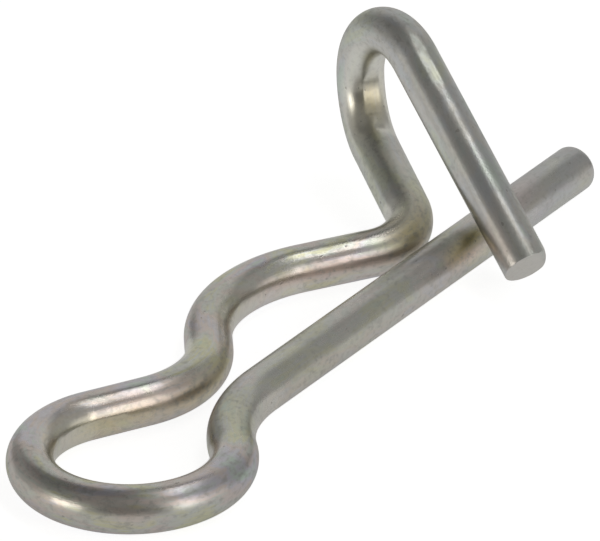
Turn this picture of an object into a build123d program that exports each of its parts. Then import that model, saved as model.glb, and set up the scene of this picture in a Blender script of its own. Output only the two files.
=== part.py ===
from build123d import *
import math
import os

# R clip bent from one round spring wire: straight leg, finger loop, humped leg, hook.
# Millimetres and degrees. +X runs along the straight leg to its tip, +Y points to the
# humped leg, +Z to the hook. The origin is on the leg's axis, at the clipped shaft's centre.

# Wire
wire_d = 4.0
tip_round_r = 0.6          # rounded edge of the leg's tip
shear_roll_r = 0.9         # rolled-over side of the hook's sheared end
shear_side_angle = 120.0   # where that side lies, about the hook leg's own axis

# Straight leg, through the shaft's cross hole
tip_reach = 34.4           # shaft centre to tip
seat_reach = 12.2          # shaft centre to the start of the first bend

# Finger loop
neck_r = 14.0
neck_angle = 43.5
loop_r = 8.2
loop_exit_angle = 29.0

# Humped leg
throat_feed = 5.3
throat_r = 9.0
throat_angle = 66.0
ramp_feed = 2.0
hump_r = 12.5
hump_angle = 69.5
dip_feed = 6.5
dip_r = 5.0
dip_angle = 84.5
dip_twist = 11.0

# Hook, turned back over the straight leg
limb_feed = 8.4
turn_r = 5.5
turn_twist = 90.0
turn_rise_angle = 76.0
turn_fall_twist = 14.0
turn_fall_angle = 126.0
hook_feed = 21.2

wire_r = wire_d / 2
half_turn = 180

# Bend table from the leg's tip: wire fed first, twist about the wire, bend radius on the
# centreline, bend angle (plus turns to the wire's left, minus to its right)
bend_table = [
    (tip_reach + seat_reach, 0, neck_r, neck_angle),
    (0, 0, loop_r, -(half_turn + neck_angle + loop_exit_angle)),
    (throat_feed, 0, throat_r, throat_angle),
    (ramp_feed, 0, hump_r, -hump_angle),
    (dip_feed, dip_twist, dip_r, dip_angle),
    (limb_feed, turn_twist, turn_r, turn_rise_angle),
    (0, turn_fall_twist, turn_r, turn_fall_angle),
    (hook_feed, 0, 0, 0),
]


def feed(pen, length):
    """A straight run of wire, and the place where it ends."""
    run = extrude(pen * Circle(wire_r), length)
    return run, Plane(pen.location * Pos(0, 0, length))


def bend(pen, radius, angle):
    """A bent run of wire, and the place where it ends. The pen's x is the wire's left."""
    side = math.copysign(1, angle)
    turn = math.radians(abs(angle))
    centre = pen.from_local_coords(Vector(side * radius, 0, 0))
    run = revolve(pen * Circle(wire_r), Axis(centre, pen.y_dir * side), abs(angle))
    across = side * radius * (1 - math.cos(turn))
    along = radius * math.sin(turn)
    return run, Plane(pen.location * Pos(across, 0, along) * Rot(0, angle, 0))


# The pen starts at the tip, headed back along the leg
pen = Plane((tip_reach, 0, 0), x_dir=(0, -1, 0), z_dir=(-1, 0, 0))
runs = []
for length, twist, radius, angle in bend_table:
    if length > 0:
        run, pen = feed(pen, length)
        runs.append(run)
    pen = Plane(pen.location * Rot(0, 0, twist))
    if radius > 0:
        run, pen = bend(pen, radius, angle)
        runs.append(run)

clip = runs[0].fuse(*runs[1:])

# Rounded tip
tip_edge = clip.edges().filter_by(GeomType.CIRCLE).sort_by(Axis.X)[-1]
clip = fillet(tip_edge, tip_round_r)

# Sheared end: the blade's entry side is rolled over, the other side stays crisp
blade = pen.location * Rot(0, 0, shear_side_angle)
corner = blade * Pos(wire_r - shear_roll_r / 2, 0, -shear_roll_r / 2)
block = corner * Box(shear_roll_r, wire_d, shear_roll_r)
roll_axis = blade * Pos(wire_r - shear_roll_r, 0, -shear_roll_r) * Rot(90, 0, 0)
roll = roll_axis * Cylinder(shear_roll_r, wire_d)
clip = clip - (block - roll)

clip = clip.solids()[0]
clip.label = "r_clip"
clip.color = Color(0.62, 0.62, 0.6)

os.makedirs("parts", exist_ok=True)
export_step(clip, "parts/r_clip.step")
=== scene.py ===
import math

import bpy
import numpy as np
from mathutils import Matrix, Vector


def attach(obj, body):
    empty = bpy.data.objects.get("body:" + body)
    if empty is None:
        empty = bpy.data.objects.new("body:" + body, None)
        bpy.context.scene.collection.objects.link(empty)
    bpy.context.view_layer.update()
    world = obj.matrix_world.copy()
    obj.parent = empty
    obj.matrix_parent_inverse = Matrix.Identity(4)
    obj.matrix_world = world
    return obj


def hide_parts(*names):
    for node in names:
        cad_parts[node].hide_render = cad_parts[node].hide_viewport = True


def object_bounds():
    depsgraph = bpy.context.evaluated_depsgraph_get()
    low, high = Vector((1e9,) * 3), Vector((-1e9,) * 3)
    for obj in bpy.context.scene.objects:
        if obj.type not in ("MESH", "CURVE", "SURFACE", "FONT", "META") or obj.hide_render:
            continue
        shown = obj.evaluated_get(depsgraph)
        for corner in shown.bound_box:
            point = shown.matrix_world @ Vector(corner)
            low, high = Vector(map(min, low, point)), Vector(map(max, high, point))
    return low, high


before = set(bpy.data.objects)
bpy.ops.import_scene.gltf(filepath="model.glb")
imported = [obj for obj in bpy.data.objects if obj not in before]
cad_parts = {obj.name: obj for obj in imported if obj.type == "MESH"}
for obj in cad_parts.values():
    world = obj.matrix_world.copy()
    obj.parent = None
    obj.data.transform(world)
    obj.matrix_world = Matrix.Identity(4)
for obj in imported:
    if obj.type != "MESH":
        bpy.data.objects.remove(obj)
cad_low, cad_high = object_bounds()

# The wire, in millimetres and degrees, as the solid has it
MM = 0.001
WIRE_R = 2.0
TIP_REACH = 34.4
SEAT_REACH = 12.2
TIP_ROUND_R = 0.6
SHEAR_ROLL_R = 0.9
SHEAR_SIDE = 120.0
# Wire fed, twist about the wire, bend radius, bend angle (plus is to the wire's left)
BENDS = (
    (TIP_REACH + SEAT_REACH, 0.0, 14.0, 43.5),
    (0.0, 0.0, 8.2, -252.5),
    (5.3, 0.0, 9.0, 66.0),
    (2.0, 0.0, 12.5, -69.5),
    (6.5, 11.0, 5.0, 84.5),
    (8.4, 90.0, 5.5, 76.0),
    (0.0, 14.0, 5.5, 126.0),
    (21.2, 0.0, 0.0, 0.0),
)
# Rings lie this far apart, in mm, with this many points round each
STATION = 0.21
AROUND = 96
# Bends set in over this length, and squeeze the wire oval by this share per squared tightness
BEND_EASE = 0.9
OVALITY = 0.10
# The wall's rings keep this clear of the rounded tip and of the sheared end
TIP_CLEAR = 0.05
END_CLEAR = 1.3
# Sheared end: radius of its crisp edge, share of the roll-over kept, depth of its torn grain,
# width of the rim without it, and the depths of roll-over between which the torn look fades
CRISP_R = 0.07
ROLL_SHARE = 0.97
TEAR_DEPTH = 0.012
SHEAR_RIM = 0.2
TORN_FADE = (0.02, 0.16)
# Radius of the ring next to the pole, at the tip and at the sheared end
TIP_POLE_R = 0.2
END_POLE_R = 0.12

# Dents: mm from the tip, angle round the wire, half length, half width, depth
DENTS = (
    (129.8, 160.0, 0.55, 0.45, 0.030),
    (127.7, 121.0, 0.13, 0.40, 0.016),
    (127.2, 119.0, 0.10, 0.25, 0.012),
    (31.3, 75.0, 0.35, 0.30, 0.012),
    (51.8, 128.0, 0.35, 0.25, 0.014),
    (53.7, 132.0, 0.45, 0.20, 0.014),
    (173.9, 302.0, 0.30, 0.25, 0.012),
    (177.1, 308.0, 0.22, 0.22, 0.010),
    (20.3, 230.0, 0.40, 0.40, 0.014),
    (149.3, 250.0, 0.40, 0.40, 0.014),
)
# Flats pressed by the bending tool: from, to, ramp in, ramp out, angle, depth
FLATS = (
    (88.6, 96.2, 1.0, 0.5, 176.0, 0.045),
    (131.0, 134.0, 0.6, 0.4, 200.0, 0.030),
    (148.2, 150.2, 0.6, 0.6, 112.0, 0.080),
    (151.0, 158.0, 0.5, 3.2, 111.0, 0.190),
    (166.0, 173.0, 2.0, 2.0, 304.5, 0.050),
)
# Amber and rose places in the passivation film: mm from the tip, angle round the wire,
# half length, half width, strength. The amber places at the crossing are partly a painted reflection
# of the hook leg in the leg.
AMBER_AND_PAINTED_REFLECTION = (
    (17.6, 50.0, 2.2, 0.7, 0.95),
    (20.6, 38.0, 1.6, 0.7, 0.60),
    (102.6, 174.0, 3.2, 1.1, 0.40),
    (95.0, 196.0, 5.5, 1.3, 0.40),
    (153.4, 112.0, 3.0, 1.1, 0.28),
    (110.0, 140.0, 7.5, 1.2, 0.30),
    (86.0, 128.0, 5.0, 1.3, 0.20),
    (76.0, 20.0, 5.0, 1.3, 0.16),
    (149.0, 64.0, 5.0, 1.2, 0.22),
    (40.0, 2.0, 9.0, 1.0, 0.20),
    (135.0, 148.0, 2.2, 1.3, 0.55),
    (153.0, 107.0, 2.4, 1.2, 0.35),
    (94.4, 172.0, 3.4, 0.9, 0.35),
    (137.0, 115.0, 4.5, 1.8, 0.35),
    (1.6, 8.0, 1.6, 1.2, 0.18),
)
# Rose places: film tint, and at the hump and throat painted light over the leg's dark reflection
ROSE_AND_PAINTED_LIGHT = (
    (127.5, 170.0, 8.0, 0.6, 1.00),
    (127.0, 205.0, 8.0, 0.8, 0.15),
    (103.0, 172.0, 3.0, 0.9, 0.45),
    (20.0, 28.0, 2.2, 0.5, 0.70),
    (19.0, 14.0, 3.0, 0.7, 0.60),
    (99.0, 165.0, 4.5, 0.8, 0.35),
    (71.3, 14.0, 1.6, 0.9, 0.50),
    (97.5, 138.0, 3.0, 0.9, 0.55),
    (186.8, 0.0, 2.8, 1.3, 0.38),
    (9.8, 55.0, 3.0, 1.4, 0.28),
    (10.8, 98.0, 3.0, 1.2, 0.20),
)


def wire_path():
    """The wire's centreline and frame, worked out run by run from the bend table.

    A fed run is place + t * ahead. A bend is the place carried round its centre: place +
    left * r * (1 - cos a) + ahead * r * sin a. The frame's two normals turn with the bend but
    not with the twists, so angles round the wire run on unbroken from one end to the other.
    Returns centre, ahead, normal 1, normal 2, mm from the tip, and the curvature's pull
    towards each normal, in 1/mm.
    """
    place = np.array((TIP_REACH, 0.0, 0.0))
    ahead, left, up = np.array(((-1.0, 0, 0), (0, -1.0, 0), (0, 0, 1.0)))
    twisted, gone, runs = 0.0, 0.0, []

    def keep(points, heads, lefts, along, bent):
        c, s = math.cos(twisted), math.sin(twisted)
        ups = np.cross(heads, lefts)
        pull = np.tile((bent * c, bent * s), (len(along), 1))
        n1 = lefts * c - ups * s
        n2 = lefts * s + ups * c
        runs.append(np.column_stack((points, heads, n1, n2, along, pull)))

    for feed, twist, radius, angle in BENDS:
        if feed:
            t = np.linspace(0, feed, math.ceil(feed / STATION) + 1)[:-1, None]
            many = np.ones_like(t)
            keep(place + t * ahead, many * ahead, many * left, gone + t[:, 0], 0.0)
            place, gone = place + feed * ahead, gone + feed
        turn = math.radians(twist)
        left, up = (left * math.cos(turn) + up * math.sin(turn),
                    up * math.cos(turn) - left * math.sin(turn))
        twisted += turn
        if radius:
            full, side = math.radians(angle), math.copysign(radius, angle)
            steps = math.ceil(abs(full) * radius / STATION) + 1
            a = np.linspace(0, full, steps)[:, None]
            points = place + left * side * (1 - np.cos(a)) + ahead * side * np.sin(a)
            heads = ahead * np.cos(a) + left * np.sin(a)
            lefts = left * np.cos(a) - ahead * np.sin(a)
            along = gone + np.abs(a[:, 0]) * radius
            keep(points[:-1], heads[:-1], lefts[:-1], along[:-1], 1 / side)
            place, ahead, left = points[-1], heads[-1], lefts[-1]
            gone = along[-1]
    keep(place[None], ahead[None], left[None], np.array([gone]), 0.0)
    path = np.vstack(runs)
    return path[:, 0:3], path[:, 3:6], path[:, 6:9], path[:, 9:12], path[:, 12], path[:, 13:15]


def soften(values, along, reach):
    """Each value becomes the mean of its neighbours, weighted by a bell of that reach in mm."""
    gap = (along[:, None] - along[None, :]) / reach
    bell = np.exp(-gap * gap)
    return bell @ values / bell.sum(1, keepdims=True)


def step_between(x, low, high):
    """0 below low, 1 above high, an S curve between."""
    t = np.clip((x - low) / (high - low), 0, 1)
    return t * t * (3 - 2 * t)


def angle_from(phi, degrees):
    """Angle round the wire from a direction, in radians, from minus pi to pi."""
    return (phi - math.radians(degrees) + math.pi) % (2 * math.pi) - math.pi


def bells(spots, along, phi):
    """Sum of bells, each strength * exp(-(mm along / half length)^2 - (mm round / half width)^2)."""
    total = 0.0
    for at, turn, half_length, half_width, strength in spots:
        off = angle_from(phi, turn)[None] * WIRE_R
        total = total + strength * np.exp(-((along - at) / half_length) ** 2 - (off / half_width) ** 2)
    return total


def wire_surface():
    """The whole wire as one grid of rings: rounded tip, wall, sheared end.

    A ring's point is centre + ahead * shift + radius * (normal 1 * cos phi + normal 2 * sin phi).
    Tip: radius = R - r + r sin b and shift = r (1 - cos b), b from 0 to 90 degrees.
    Wall: radius R, a little thinner in the plane of a bend, less the dents, and cut by each
    flat at (R - depth) / cos(angle from the flat), with the depth ramped at the flat's ends.
    Sheared end: rings that close in, lower by the roll-over r - sqrt(r^2 - x^2) on one side,
    with a torn grain of low sine waves.
    The fields carry each point's place on the unbent wire, how far the bend stretched it, whether
    it is on the sheared face, and how much amber and rose film it has, the amber partly a painted
    reflection and the rose partly painted light over dark reflections.
    """
    centre, ahead, n1, n2, along, pull = wire_path()
    length = along[-1]
    pull = soften(pull, along, BEND_EASE)
    phi = np.linspace(0, 2 * math.pi, AROUND, endpoint=False)
    cos, sin = np.cos(phi)[None], np.sin(phi)[None]

    # Wall rings, clear of both ends
    wall = np.flatnonzero((along > TIP_ROUND_R + TIP_CLEAR) & (along < length - END_CLEAR))
    bow = pull[wall]
    inner = bow[:, :1] * cos + bow[:, 1:] * sin
    tight = np.hypot(bow[:, :1], bow[:, 1:])
    oval = OVALITY * WIRE_R ** 2 * (2 * inner ** 2 - tight ** 2)
    radius = WIRE_R * (1 - oval)
    here = along[wall][:, None]
    radius = radius - bells(DENTS, here, phi)
    for start, stop, ramp_in, ramp_out, turn, depth in FLATS:
        span = step_between(here, start, start + ramp_in)
        span = span * (1 - step_between(here, stop - ramp_out, stop))
        facing = np.maximum(np.cos(angle_from(phi, turn)), 0.1)[None]
        radius = np.minimum(radius, (WIRE_R - depth * span) / facing)

    # Tip rings: face, then rounded edge
    face = np.linspace(TIP_POLE_R, WIRE_R - TIP_ROUND_R, 6)[:-1, None] * np.ones_like(cos)
    edge = np.linspace(0, math.pi / 2, 10)[:, None] * np.ones_like(cos)
    tip_radius = np.vstack((face, WIRE_R - TIP_ROUND_R + TIP_ROUND_R * np.sin(edge)))
    tip_shift = np.vstack((face * 0, TIP_ROUND_R * (1 - np.cos(edge))))

    # End rings: crisp edge, then face, all lowered where the blade rolled the wire over
    lap = np.linspace(0, math.pi / 2, 5)[:, None] * np.ones_like(cos)
    close = np.linspace(WIRE_R - CRISP_R, END_POLE_R, 14)[1:, None] * np.ones_like(cos)
    end_radius = np.vstack((WIRE_R - CRISP_R * (1 - np.cos(lap)), close))
    inset = np.vstack((CRISP_R * (1 - np.sin(lap)), close * 0))
    twist = sum(row[1] for row in BENDS)
    side = angle_from(phi, twist + SHEAR_SIDE)[None]
    across = np.clip(end_radius * np.cos(side) - (WIRE_R - SHEAR_ROLL_R), 0, SHEAR_ROLL_R)
    drop = SHEAR_ROLL_R - np.sqrt(SHEAR_ROLL_R ** 2 - across ** 2)
    tear = end_radius * np.sin(side) / WIRE_R
    grain = TEAR_DEPTH * np.sin(9 * tear + 2 * np.cos(side)) * (end_radius < WIRE_R - SHEAR_RIM)
    end_shift = -inset - ROLL_SHARE * drop + grain - TEAR_DEPTH

    counts = len(tip_radius), len(wall), len(end_radius)
    station = np.concatenate((np.zeros(counts[0], int), wall, np.full(counts[2], len(along) - 1)))
    shift = np.vstack((tip_shift, np.zeros_like(radius), end_shift))
    radius = np.vstack((tip_radius, radius, end_radius))

    c, a = centre[station][:, None], ahead[station][:, None]
    m1, m2 = n1[station][:, None], n2[station][:, None]
    rings = c + a * shift[..., None] + radius[..., None] * (m1 * cos[..., None] + m2 * sin[..., None])
    unbent = np.stack((along[station][:, None] + shift, radius * cos, radius * sin), -1)
    stretch = -WIRE_R * (pull[station][:, :1] * cos + pull[station][:, 1:] * sin)
    cut = np.zeros_like(radius)
    cut[-counts[2] + 3:] = 1 - step_between(drop[3:], *TORN_FADE)

    # Amber film, partly a painted reflection of the hook leg at the crossing
    amber = bells(AMBER_AND_PAINTED_REFLECTION, along[station][:, None], phi)
    # Rose film, partly painted light over the leg's dark reflection
    rose = bells(ROSE_AND_PAINTED_LIGHT, along[station][:, None], phi)

    poles = np.array((centre[0], centre[-1] + ahead[-1] * end_shift[-1].mean()))
    pole_unbent = np.array(((0.0, 0, 0), (length, 0, 0)))
    points = np.vstack((rings.reshape(-1, 3), poles))
    unbent = np.vstack((unbent.reshape(-1, 3), pole_unbent))
    fields = {"unbent": unbent}
    for name, values, at_poles in (("stretch", stretch, (0, 0)), ("cut", cut, (0, 1)),
                                   ("amber", amber, (0, 0)), ("rose", rose, (0, 0))):
        fields[name] = np.append(values.ravel(), at_poles)

    # Quads between rings, and a fan of triangles at each pole, all facing outwards
    rows = len(radius)
    at = np.arange(rows * AROUND).reshape(rows, AROUND)
    after = np.roll(at, -1, 1)
    quads = np.stack((at[:-1], after[:-1], after[1:], at[1:]), -1).reshape(-1, 4)
    tip_pole = np.full(AROUND, rows * AROUND)
    fans = np.vstack((np.stack((tip_pole, after[0], at[0]), -1),
                      np.stack((tip_pole + 1, at[-1], after[-1]), -1)))
    return points, quads, fans, fields


def make_piece(name, points, quads, fans, fields):
    """A mesh object at the origin from arrays of points, quads and triangles, in mm."""
    mesh = bpy.data.meshes.new(name)
    corners = np.concatenate((quads.ravel(), fans.ravel())).astype(np.int32)
    starts = np.concatenate((np.arange(len(quads)) * 4, quads.size + np.arange(len(fans)) * 3))
    mesh.vertices.add(len(points))
    mesh.vertices.foreach_set("co", (points * MM).astype(np.float32).ravel())
    mesh.loops.add(len(corners))
    mesh.loops.foreach_set("vertex_index", corners)
    mesh.polygons.add(len(starts))
    mesh.polygons.foreach_set("loop_start", starts.astype(np.int32))
    mesh.update(calc_edges=True)
    mesh.validate()
    mesh.polygons.foreach_set("use_smooth", np.ones(len(mesh.polygons), bool))
    for field, values in fields.items():
        vector = values.ndim == 2
        layer = mesh.attributes.new(field, "FLOAT_VECTOR" if vector else "FLOAT", "POINT")
        layer.data.foreach_set("vector" if vector else "value", values.astype(np.float32).ravel())
    piece = bpy.data.objects.new(name, mesh)
    bpy.context.scene.collection.objects.link(piece)
    return piece


def set_stops(elements, stops):
    """Gives a ramp its stops, each a place and a colour, in order."""
    while len(elements) < len(stops):
        elements.new(1.0)
    for element, (at, colour) in zip(elements, stops):
        element.position = at
        element.color = (*colour, 1)


class Socket:
    """A shader socket in its node tree: sums on it add Math nodes, and node() adds any other."""

    def __init__(self, tree, plug=None):
        self.tree, self.plug = tree, plug

    def node(self, kind, settings=None, sockets=None, out=0):
        """Adds a node: its settings first, then its sockets' links or values."""
        node = self.tree.nodes.new(kind)
        for key, value in (settings or {}).items():
            if key == "stops":
                set_stops(node.color_ramp.elements, value)
            else:
                setattr(node, key, value)
        for key, value in (sockets or {}).items():
            if isinstance(value, Socket):
                self.tree.links.new(value.plug, node.inputs[key])
            else:
                node.inputs[key].default_value = value
        return Socket(self.tree, node.outputs[out] if len(node.outputs) else None)

    def sum(self, operation, first, second):
        return self.node("ShaderNodeMath", {"operation": operation}, {0: first, 1: second})

    def __add__(self, other):
        return self.sum("ADD", self, other)

    def __sub__(self, other):
        return self.sum("SUBTRACT", self, other)

    def __rsub__(self, other):
        return self.sum("SUBTRACT", other, self)

    def __mul__(self, other):
        return self.sum("MULTIPLY", self, other)

    __radd__, __rmul__ = __add__, __mul__


def scaled(vector, factors):
    """A vector with each part times its own factor."""
    return vector.node("ShaderNodeVectorMath", {"operation": "MULTIPLY"}, {0: vector, 1: factors})


def noise(vector, scale, detail=2.0, roughness=0.5, distortion=0.0):
    """Cloud noise from about 0 to 1, with the scale in clouds per unit of the vector."""
    return vector.node("ShaderNodeTexNoise", {}, {
        "Vector": vector, "Scale": scale, "Detail": detail,
        "Roughness": roughness, "Distortion": distortion})


def ease(value, low, high, to_low=0.0, to_high=1.0):
    """An S curve from to_low, where the value is low, to to_high, where it is high."""
    return value.node("ShaderNodeMapRange", {"interpolation_type": "SMOOTHSTEP"}, {
        "Value": value, "From Min": low, "From Max": high, "To Min": to_low, "To Max": to_high})


def blend(first, second, share):
    """A colour that is the second by that share, and the first by the rest."""
    return share.node("ShaderNodeMix", {"data_type": "RGBA"}, {0: share, 6: first, 7: second}, out=2)


def new_finish(name):
    """A new material with an empty node tree, and the handle that adds its nodes."""
    material = bpy.data.materials.new(name)
    material.use_nodes = True
    material.node_tree.nodes.clear()
    return material, Socket(material.node_tree)


# Colours of the thin passivation film, in the order that it goes through as it thickens
FILM = (
    (0.26, (0.504, 0.584, 0.500)),
    (0.36, (0.590, 0.580, 0.408)),
    (0.44, (0.541, 0.558, 0.532)),
    (0.52, (0.594, 0.526, 0.492)),
    (0.60, (0.538, 0.524, 0.581)),
    (0.70, (0.494, 0.575, 0.511)),
)
# Colours of single places, from the burnished inside of bends to the sheared face
BURNISHED = (0.72, 0.71, 0.65, 1)
TIP_FILM = (0.456, 0.468, 0.500, 1)
HOOK_FILM = (0.532, 0.566, 0.535, 1)
LEG_FILM = (0.543, 0.550, 0.522, 1)
# Amber film colour, also painting the hook leg's reflection at the crossing and lifting dark
# reflections
AMBER_FILM_AND_PAINTED_REFLECTION = (0.68, 0.60, 0.34, 1)
# Rose film colour, also painted light that lifts the leg's dark reflection under the hump and throat
ROSE_FILM_AND_PAINTED_LIGHT = (0.71, 0.57, 0.505, 1)
BRIGHT_LINE = (0.66, 0.655, 0.62, 1)
DARK_GRAIN = (0.36, 0.357, 0.332, 1)
PIT = (0.20, 0.19, 0.175, 1)
SHEARED = (0.66, 0.645, 0.615, 1)
EDGE_TINT = (0.80, 0.795, 0.78, 1)
# Stretches of the wire, in mm from the tip, where each part's own finish sets in or ends
HOOK_FROM = (129.0, 141.0)
HOOK_LEG_FROM = (157.0, 166.0)
LEG_TO = (52.0, 62.0)
TIP_TO = (8.0, 16.0)
# Stretch of a bent wire's skin over which its outside frosts and its inside is burnished
BENT_SKIN = (0.02, 0.22)
# Roughness of the plain plate, and heights of the drawing lines, hairs and pits, in mm
PLAIN_ROUGHNESS = 0.22
LINE_HEIGHT = 0.0035
HAIR_HEIGHT = 0.0045
PIT_DEPTH = 0.008


def zinc_plate():
    """Zinc-plated drawn wire: drawing lines along it, a frosted grain, an iridescent film.

    All patterns read the wire's unbent place, in mm, so that they follow it round its bends.
    The frost is heavier on the stretched side of a bend, and the tool burnished the inner side.
    Leg, tip and hook each lean to a film colour of their own. Rose places are partly painted light
    over the leg's dark reflection, and amber ones at the crossing partly a painted reflection of the
    hook leg.
    """
    material, f = new_finish("zinc_plate")
    place = f.node("ShaderNodeAttribute", {"attribute_name": "unbent"}, out="Vector")
    stretch, cut, amber, rose = (f.node("ShaderNodeAttribute", {"attribute_name": name}, out="Fac")
                                 for name in ("stretch", "cut", "amber", "rose"))
    along = f.node("ShaderNodeSeparateXYZ", {}, {"Vector": place}, out="X")
    hook = ease(along, *HOOK_FROM)
    hook_leg = ease(along, *HOOK_LEG_FROM)
    leg = ease(along, *LEG_TO, 1.0, 0.0)
    tip = ease(along, *TIP_TO, 1.0, 0.0)

    # Drawing lines, long along the wire and narrow round it
    lines = noise(scaled(place, (0.035, 1, 1)), 5.5, 3.0, 0.6)
    hairs = noise(scaled(place, (0.02, 1, 1)), 13.0, 1.0, 0.5)
    # Frosted grain, its coarser mottle, and clouds where it is heavier
    grain = noise(scaled(place, (0.8, 1, 1)), 2.4, 4.0, 0.62, 0.3)
    mottle = noise(scaled(place, (0.6, 1, 1)), 0.85, 3.0, 0.6, 0.6)
    clouds = noise(scaled(place, (0.45, 1, 1)), 0.36, 2.0, 0.55, 0.3)
    outer = ease(stretch, *BENT_SKIN)
    inner = ease(stretch * -1.0, *BENT_SKIN)
    frost = ease(clouds + outer * 0.22 - inner * 0.22, 0.36, 0.66)
    # Sparse pits
    pits = ease(noise(scaled(place, (0.7, 1, 1)), 1.9, 1.0, 0.5), 0.745, 0.80)

    # The film's thickness picks its colour, and single places are laid over it
    film = noise(scaled(place, (0.4, 1, 1)), 0.34, 3.0, 0.55, 0.6)
    film = film + (lines - 0.5) * 0.18 + (mottle - 0.5) * 0.22 - leg * 0.035
    colour = f.node("ShaderNodeValToRGB", {"stops": FILM}, {"Fac": film})
    colour = blend(colour, LEG_FILM, leg * 0.45)
    colour = blend(colour, HOOK_FILM, hook * 0.55)
    colour = blend(colour, TIP_FILM, tip * 0.55)
    colour = blend(colour, BURNISHED, inner * 0.7)
    # Rose film, partly painted light over the leg's dark reflection under the hump and throat
    colour = blend(colour, ROSE_FILM_AND_PAINTED_LIGHT, rose)
    # Amber film, partly a painted reflection of the hook leg at the crossing
    colour = blend(colour, AMBER_FILM_AND_PAINTED_REFLECTION, amber)
    colour = blend(colour, BRIGHT_LINE, ease(lines, 0.45, 0.80, 0.0, 0.35))
    colour = blend(colour, DARK_GRAIN, ease(grain, 0.44, 0.74) * (0.26 + frost * 0.42))
    colour = blend(colour, PIT, pits * 0.5)
    colour = blend(colour, SHEARED, cut * 0.75)

    # The hook and the leg are rougher, and a thick film hazes the metal
    rough = PLAIN_ROUGHNESS + frost * 0.10 + (grain - 0.5) * 0.12 + pits * 0.10 + cut * 0.20
    rough = rough + hook * 0.08 + hook_leg * 0.02 + leg * 0.05 + rose * 0.06

    graininess = 0.003 + frost * 0.009 + cut * 0.010 + hook * 0.004 + hook_leg * 0.003
    height = lines * LINE_HEIGHT + hairs * HAIR_HEIGHT + grain * graininess - pits * PIT_DEPTH
    height = height + mottle * (0.004 + frost * 0.008)
    normal = f.node("ShaderNodeBump", {}, {"Strength": 1.0, "Distance": MM, "Height": height})

    shader = f.node("ShaderNodeBsdfPrincipled", {}, {
        "Base Color": colour, "Metallic": 1.0, "Roughness": rough, "Normal": normal,
        "Specular Tint": EDGE_TINT})
    f.node("ShaderNodeOutputMaterial", {}, {"Surface": shader})
    return material


# Studio floor, in m: half its width, the paper's colour, how much it is lifted to show white, the
# share of that lift in the metal on its near and far sides, the half width of the fade between
# them, and the azimuth of the far side
FLOOR_HALF = 4.0
FLOOR_PAPER = (0.50, 0.50, 0.50, 1)
FLOOR_LIFT = 0.84
FLOOR_IN_METAL = (0.46, 0.66)
FLOOR_FADE = 0.030
FLOOR_FAR_SIDE = 55.0
# Studio: dim walls with paler parts, two soft boxes low down and a tube overhead
WALL_SHADE = (0.145, 0.1435, 0.14, 1)
# Part of the wall, colour, azimuth and elevation of its middle, cosines where it starts and is full
SCREENS = (
    ("right_wall", (0.375, 0.371, 0.361, 1), -38.0, 26.0, 0.70, 0.97),
    ("left_wall", (0.33, 0.328, 0.32, 1), 95.0, 6.0, 0.77, 0.97),
    ("left_glow", (0.42, 0.416, 0.398, 1), 138.0, 6.0, 0.83, 0.97),
    ("near_wall", (0.185, 0.183, 0.178, 1), -112.0, 36.0, 0.76, 0.95),
    ("left_high", (0.235, 0.233, 0.229, 1), 168.0, 50.0, 0.80, 0.95),
    ("top_glow", (0.44, 0.432, 0.416, 1), -95.0, 54.0, 0.86, 0.98),
    ("far_screen", (0.68, 0.675, 0.657, 1), 28.0, 16.0, 0.76, 0.91),
    ("right_glow", (0.81, 0.787, 0.752, 1), -73.0, 6.0, 0.88, 0.99),
)
# Name, azimuth, elevation, distance, width, height, brightness, colour
LAMPS = (
    ("left_box", 155.5, 9.5, 0.60, 0.24, 0.20, 2.8, (1.0, 0.965, 0.90)),
    ("right_box", -99.0, 20.0, 0.60, 0.23, 0.42, 1.6, (1.0, 0.955, 0.925)),
)
# The tube: place from the clip's middle, direction, length and width, brightness, colour
TUBE_PLACE = (0.181, -0.117, 0.60)
TUBE_ALONG = (0.58, 0.815)
TUBE_SIZE = (0.40, 0.105)
TUBE_BRIGHTNESS = 2.75
TUBE_COLOUR = (1.0, 0.99, 0.955)


def heading(azimuth, elevation):
    """Unit vector towards an azimuth from +X and an elevation, in degrees."""
    a, e = math.radians(azimuth), math.radians(elevation)
    return Vector((math.cos(e) * math.cos(a), math.cos(e) * math.sin(a), math.sin(e)))


def studio_floor():
    """Pale floor that shows white to the eye and keeps the clip's shadow.

    In the metal it shows dimmer, and there its far side is the brighter one.
    """
    material, f = new_finish("studio_floor")
    eye, metal, glass = (f.node("ShaderNodeLightPath", out="Is " + kind + " Ray")
                         for kind in ("Camera", "Glossy", "Transmission"))
    spot = f.node("ShaderNodeTexCoord", out="Object")
    depth = f.node("ShaderNodeVectorMath", {"operation": "DOT_PRODUCT"}, {
        0: spot, 1: heading(FLOOR_FAR_SIDE, 0.0)}, out="Value")
    seen = eye + (metal + glass) * ease(depth, -FLOOR_FADE, FLOOR_FADE, *FLOOR_IN_METAL)
    paper = f.node("ShaderNodeBsdfDiffuse", {}, {"Color": FLOOR_PAPER})
    glow = f.node("ShaderNodeEmission", {}, {"Color": seen, "Strength": FLOOR_LIFT})
    both = f.node("ShaderNodeAddShader", {}, {0: paper, 1: glow})
    f.node("ShaderNodeOutputMaterial", {}, {"Surface": both})
    return material


def soft_box(name, place, turn, width, height, brightness, colour):
    """A rectangular lamp. Its power is brightness times pi times its area."""
    data = bpy.data.lights.new(name, "AREA")
    data.shape = "RECTANGLE"
    data.size, data.size_y = width, height
    data.energy = brightness * math.pi * width * height
    data.color = colour
    lamp = bpy.data.objects.new(name, data)
    lamp.matrix_world = Matrix.Translation(place) @ turn.to_4x4()
    bpy.context.scene.collection.objects.link(lamp)


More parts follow.
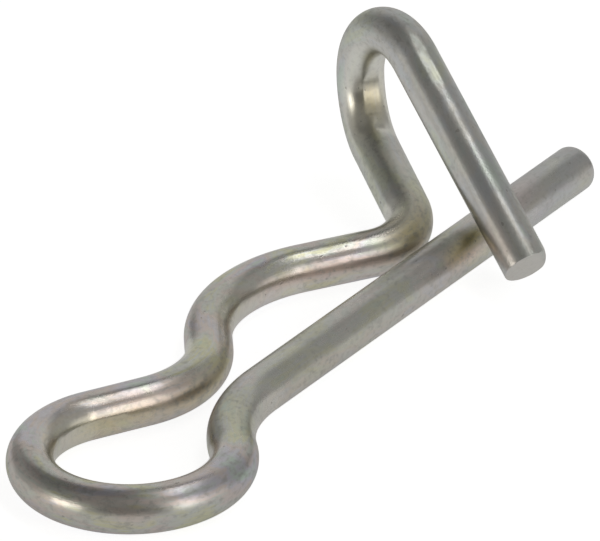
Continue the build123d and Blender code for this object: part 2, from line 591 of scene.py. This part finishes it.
def light_studio(middle):
    """Soft boxes and tube round the middle, and walls that fade from part to part by direction."""
    for name, azimuth, elevation, distance, width, height, brightness, colour in LAMPS:
        out = heading(azimuth, elevation)
        turn = (-out).to_track_quat("-Z", "Y").to_matrix()
        soft_box(name, middle + out * distance, turn, width, height, brightness, colour)
    x = Vector((*TUBE_ALONG, 0)).normalized()
    z = Vector((0, 0, 1))
    turn = Matrix((x, z.cross(x), z)).transposed()
    soft_box("top_tube", middle + Vector(TUBE_PLACE), turn, *TUBE_SIZE, TUBE_BRIGHTNESS, TUBE_COLOUR)

    world = bpy.data.worlds.new("studio")
    world.use_nodes = True
    world.node_tree.nodes.clear()
    f = Socket(world.node_tree)
    ray = f.node("ShaderNodeTexCoord", out="Generated")
    shade = WALL_SHADE
    for name, colour, azimuth, elevation, starts, full in SCREENS:
        facing = f.node("ShaderNodeVectorMath", {"operation": "DOT_PRODUCT", "label": name}, {
            0: ray, 1: heading(azimuth, elevation)}, out="Value")
        shade = blend(shade, colour, ease(facing, starts, full))
    sky = f.node("ShaderNodeBackground", {}, {"Color": shade, "Strength": 1.0})
    f.node("ShaderNodeOutputWorld", {}, {"Surface": sky})
    bpy.context.scene.world = world


# Camera: azimuth and elevation of its line of sight, roll, px per mm, distance, and the px
# where the first bend's start falls
FRAME_W, FRAME_H = 600, 541
SIGHT_AZIMUTH, SIGHT_ELEVATION, SIGHT_ROLL = 55.145, 28.131, -0.858
PX_PER_MM = 12.318
SIGHT_DISTANCE = 964.0
BEND_PX = (261.95, 389.64)
SENSOR = 36.0
CLIP_RANGE = (0.05, 50.0)


def set_camera():
    """A long lens, so that the bend's start lands on its pixel at that scale and distance."""
    a, e, r = (math.radians(v) for v in (SIGHT_AZIMUTH, SIGHT_ELEVATION, SIGHT_ROLL))
    right = Vector((math.cos(a), -math.sin(a), 0))
    up = Vector((math.sin(a) * math.sin(e), math.cos(a) * math.sin(e), math.cos(e)))
    sight = Vector((math.sin(a) * math.cos(e), math.cos(a) * math.cos(e), -math.sin(e)))
    right, up = (right * math.cos(r) + up * math.sin(r), up * math.cos(r) - right * math.sin(r))
    start = Vector((-SEAT_REACH, 0, 0))
    across = (BEND_PX[0] - FRAME_W / 2) / PX_PER_MM
    down = (BEND_PX[1] - FRAME_H / 2) / PX_PER_MM
    place = start - right * across + up * down - sight * SIGHT_DISTANCE
    data = bpy.data.cameras.new("camera")
    data.sensor_fit, data.sensor_width = "HORIZONTAL", SENSOR
    data.lens = SENSOR * PX_PER_MM * SIGHT_DISTANCE / FRAME_W
    data.clip_start, data.clip_end = CLIP_RANGE
    camera = bpy.data.objects.new("camera", data)
    turn = Matrix((right, up, -sight)).transposed().to_4x4()
    camera.matrix_world = Matrix.Translation(place * MM) @ turn
    bpy.context.scene.collection.objects.link(camera)
    bpy.context.scene.camera = camera


points, quads, fans, fields = wire_surface()
wire = make_piece("clip_wire", points, quads, fans, fields)
wire.data.materials.append(zinc_plate())
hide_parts("r_clip")
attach(wire, "root")

corner = np.array(((-1, -1), (1, -1), (1, 1), (-1, 1))) * FLOOR_HALF / MM
floor_points = np.column_stack((corner, np.full(4, points[:, 2].min())))
floor = make_piece("floor", floor_points, np.array([[0, 1, 2, 3]]), np.zeros((0, 3), int), {})
floor.data.materials.append(studio_floor())

light_studio((cad_low + cad_high) / 2)
set_camera()
bpy.context.scene.view_settings.view_transform = "Standard"
